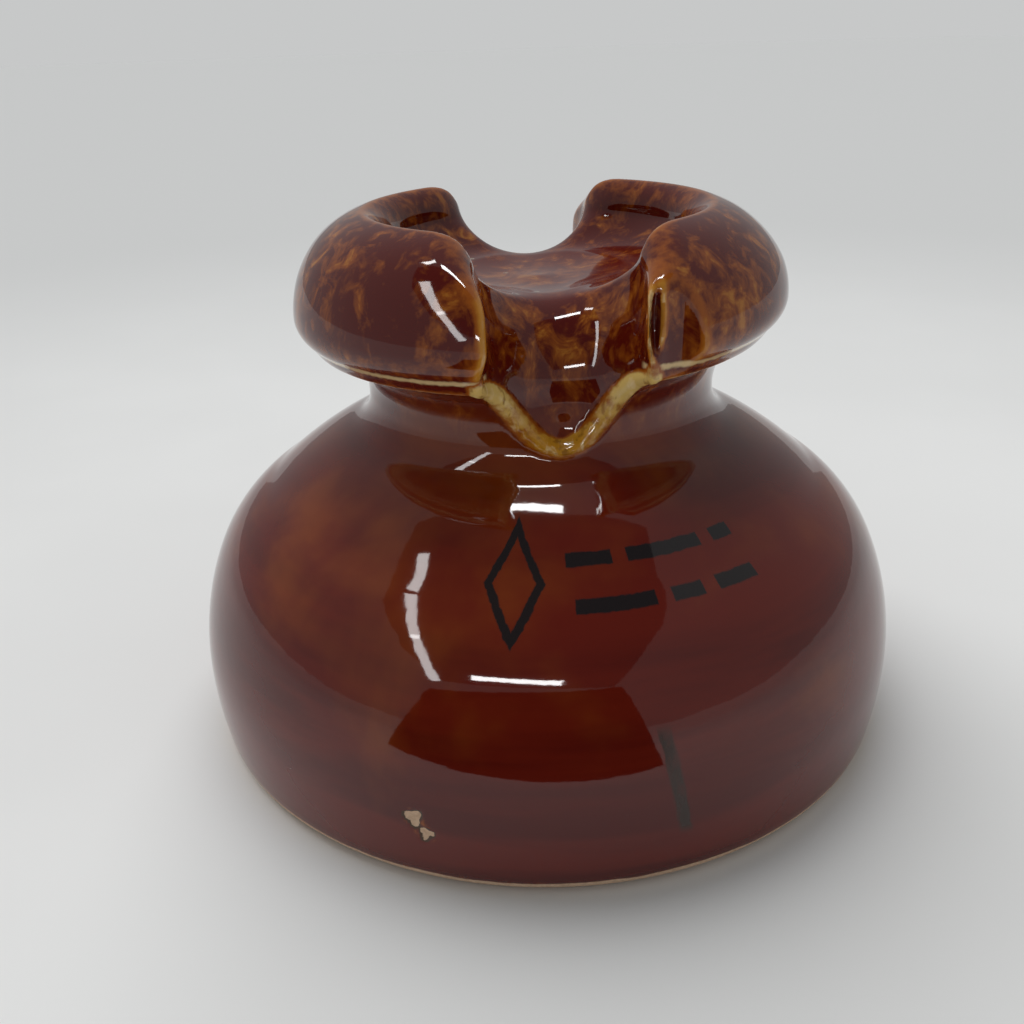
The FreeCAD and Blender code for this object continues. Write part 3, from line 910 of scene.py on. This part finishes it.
# Each piece: dark and light colour, grains a metre, roughness, relief, and how metallic.
OTHER_PIECES = {
    "pinhole_sand_band": ((0.32, 0.22, 0.14), (0.72, 0.58, 0.42), 700, 0.80, 0.6),
    "thimble_cement": ((0.22, 0.21, 0.19), (0.52, 0.50, 0.46), 300, 0.80, 0.3),
    "bitumen_coat": ((0.008, 0.008, 0.008), (0.030, 0.027, 0.024), 200, 0.35, 0.1),
    "zinc_thimble": ((0.30, 0.31, 0.33), (0.62, 0.64, 0.67), 160, 0.32, 0.08, 1.0),
    "crown_cork_disc": ((0.20, 0.10, 0.045), (0.52, 0.33, 0.17), 500, 0.75, 0.3),
    "cement_face_seal": ((0.015, 0.014, 0.013), (0.05, 0.047, 0.043), 260, 0.50, 0.2),
}
for node, look in OTHER_PIECES.items():
    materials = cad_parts[node].data.materials
    materials.clear()
    materials.append(coarse_material(node + "_look", *look))


# ---------------------------------------------------------------- floor and light tent

FLOOR_RADIUS = 9000
FLOOR_SIDES = 96
FLOOR_LEVEL = -0.05
SHEET_DARK = (0.77, 0.77, 0.765)
SHEET_LIGHT = (0.80, 0.80, 0.795)
# Painted shade: the grey the sheet fades to far from the object.
SHEET_FAR_SHADE = (0.63, 0.632, 0.63)

# Cards of the tent: corners, colour and strength. First its open front, then the dim hole in
# its roof that the camera looks in through.
CARDS = {
    "tent_front": ([(-170, -175, 0), (61, -175, 0), (36, -175, 84), (-119, -175, 84)],
                   (1.0, 0.9, 0.9), 0.02),
    "tent_hole": ([(-259, -372, 204), (95, -409, 177), (160, -200, 300), (188, -45, 432),
                   (120, -20, 500), (25, -19, 470), (-180, 40, 520), (-288, 71, 537),
                   (-330, -60, 430), (-330, -250, 300)], (0.9, 0.95, 1.0), 0.10),
}

# Rows of lamps: start, end, width and brightness. All of them face LIT_POINT.
LIT_POINT = (-15, -60, 60)
LAMPS = {
    "lamps_roof": ((-69, -5, 300), (21, -25, 300), 13, 26.0),
    "lamps_roof_corner": ((-129, 18, 310), (-90, 18, 310), 12, 16.0),
    "lamps_side_high": ((-165, -50, 300), (-225, -190, 270), 18, 9.0),
    "lamps_side_low": ((-224, -180, 280), (-215, -290, 160), 18, 9.0),
    "lamps_front": ((-150, -295, 182), (-6, -320, 172), 15, 24.0),
}

DAYLIGHT_STRENGTH = 2.35
DAYLIGHT_SPREAD = math.radians(70)
DAYLIGHT_TILT = (math.radians(-34), math.radians(-14), 0)
WALLS = ((0.97, 1.0, 1.0, 1.0), 0.34)
PAPER = ((0.571, 0.578, 0.578, 1.0), 1.0)


def floor_material():
    """A light sheet, with painted shade making it greyer far from the object."""
    g = Graph("floor_sheet")
    mark = g.noise((6, 6, 6), detail=3, rough=0.6, seed=0.7)
    *_, far = g.axes()
    near = g.mix(g.between(mark, 0.35, 0.7), SHEET_DARK, SHEET_LIGHT)
    # Painted shade: the sheet fades to a darker grey away from the object.
    colour = g.mix(g.between(far, 200, 750), near, SHEET_FAR_SHADE)
    return g.surface(Base_Color=colour, Roughness=0.7, Specular_IOR_Level=0.2)


def emitting(name, colour, strength):
    """A plain self-lit material for a card in the light tent."""
    material = bpy.data.materials.new(name)
    material.use_nodes = True
    nodes = material.node_tree.nodes
    nodes.clear()
    glow = nodes.new("ShaderNodeEmission")
    end = nodes.new("ShaderNodeOutputMaterial")
    glow.inputs["Color"].default_value = (*colour, 1.0)
    glow.inputs["Strength"].default_value = strength
    material.node_tree.links.new(glow.outputs[0], end.inputs["Surface"])
    return material


def card(name, corners, colour, strength):
    """A flat card of the tent that only reflections see."""
    made = mesh_object(name, corners, [tuple(range(len(corners)))])
    made.data.materials.append(emitting(name + "_look", colour, strength))
    for flag in ("visible_camera", "visible_diffuse", "visible_shadow", "visible_transmission"):
        setattr(made, flag, False)


def linked_light(name, data):
    light = bpy.data.objects.new(name, data)
    bpy.context.scene.collection.objects.link(light)
    return light


def strip(name, start, end, width, radiance):
    """A straight row of lamps seen only in reflections."""
    start = Vector(start) * MM
    end = Vector(end) * MM
    middle = (start + end) / 2
    data = bpy.data.lights.new(name, "AREA")
    data.shape = "RECTANGLE"
    data.size = (end - start).length
    data.size_y = width * MM
    data.energy = radiance * math.pi * data.size * data.size_y
    long_way = (end - start).normalized()
    back = (middle - Vector(LIT_POINT) * MM).normalized()
    back = (back - back.dot(long_way) * long_way).normalized()
    lamp = linked_light(name, data)
    lamp.matrix_world = Matrix((long_way, back.cross(long_way), back)).transposed().to_4x4()
    lamp.location = middle
    lamp.visible_camera = False
    lamp.visible_diffuse = False


def soft_daylight():
    """The soft light that shades everything and that no reflection shows."""
    data = bpy.data.lights.new("daylight", "SUN")
    data.energy = DAYLIGHT_STRENGTH
    data.angle = DAYLIGHT_SPREAD
    lamp = linked_light("daylight", data)
    lamp.rotation_euler = DAYLIGHT_TILT
    lamp.visible_glossy = False


def surroundings():
    """The tent's walls to reflections and soft fill, and a plain paper tone to the camera."""
    world = bpy.data.worlds.new("tent")
    bpy.context.scene.world = world
    world.use_nodes = True
    nodes = world.node_tree.nodes
    walls = nodes["Background"]
    paper = nodes.new("ShaderNodeBackground")
    for made, (colour, strength) in ((walls, WALLS), (paper, PAPER)):
        made.inputs["Color"].default_value = colour
        made.inputs["Strength"].default_value = strength
    ray_kind = nodes.new("ShaderNodeLightPath")
    choose = nodes.new("ShaderNodeMixShader")
    end = nodes["World Output"].inputs["Surface"]
    for start, finish in ((ray_kind.outputs["Is Camera Ray"], choose.inputs[0]),
                          (walls.outputs[0], choose.inputs[1]),
                          (paper.outputs[0], choose.inputs[2]), (choose.outputs[0], end)):
        world.node_tree.links.new(start, finish)


floor_angles = np.linspace(0, math.tau, FLOOR_SIDES, endpoint=False)
floor_corners = [(FLOOR_RADIUS * math.cos(a), FLOOR_RADIUS * math.sin(a), FLOOR_LEVEL)
                 for a in floor_angles]
floor = mesh_object("floor", floor_corners, [tuple(range(FLOOR_SIDES))])
floor.data.materials.append(floor_material())
for name, (corners, colour, strength) in CARDS.items():
    card(name, corners, colour, strength)
for name, (start, end, width, radiance) in LAMPS.items():
    strip(name, start, end, width, radiance)
soft_daylight()
surroundings()


# ---------------------------------------------------------------- camera

# It aims at a point on the neck's left, a little under arm's length away. The heading turns it
# round the upright axis.
PITCH = math.radians(25.33)
ROLL = math.radians(-1.81)
HEADING = math.radians(4.1)
AIM = (-8.0, 0.0, 46.85)
DISTANCE = 270.6
SENSOR_WIDTH = 36.0
LENS = 36.0


def place_camera():
    ahead = Vector((0, math.cos(PITCH), -math.sin(PITCH)))
    across = Vector((1, 0, 0))
    above = Vector((0, math.sin(PITCH), math.cos(PITCH)))
    right_way = math.cos(ROLL) * across + math.sin(ROLL) * above
    up_way = -math.sin(ROLL) * across + math.cos(ROLL) * above
    pose = Matrix((right_way, up_way, -ahead)).transposed().to_4x4()
    pose.translation = (Vector(AIM) - DISTANCE * ahead) * MM
    data = bpy.data.cameras.new("camera")
    data.sensor_width = SENSOR_WIDTH
    data.lens = LENS
    data.clip_start = 0.01
    camera = bpy.data.objects.new("camera", data)
    camera.matrix_world = Matrix.Rotation(-HEADING, 4, "Z") @ pose
    bpy.context.scene.collection.objects.link(camera)
    bpy.context.scene.camera = camera


place_camera()
bpy.context.scene.view_settings.view_transform = "Standard"
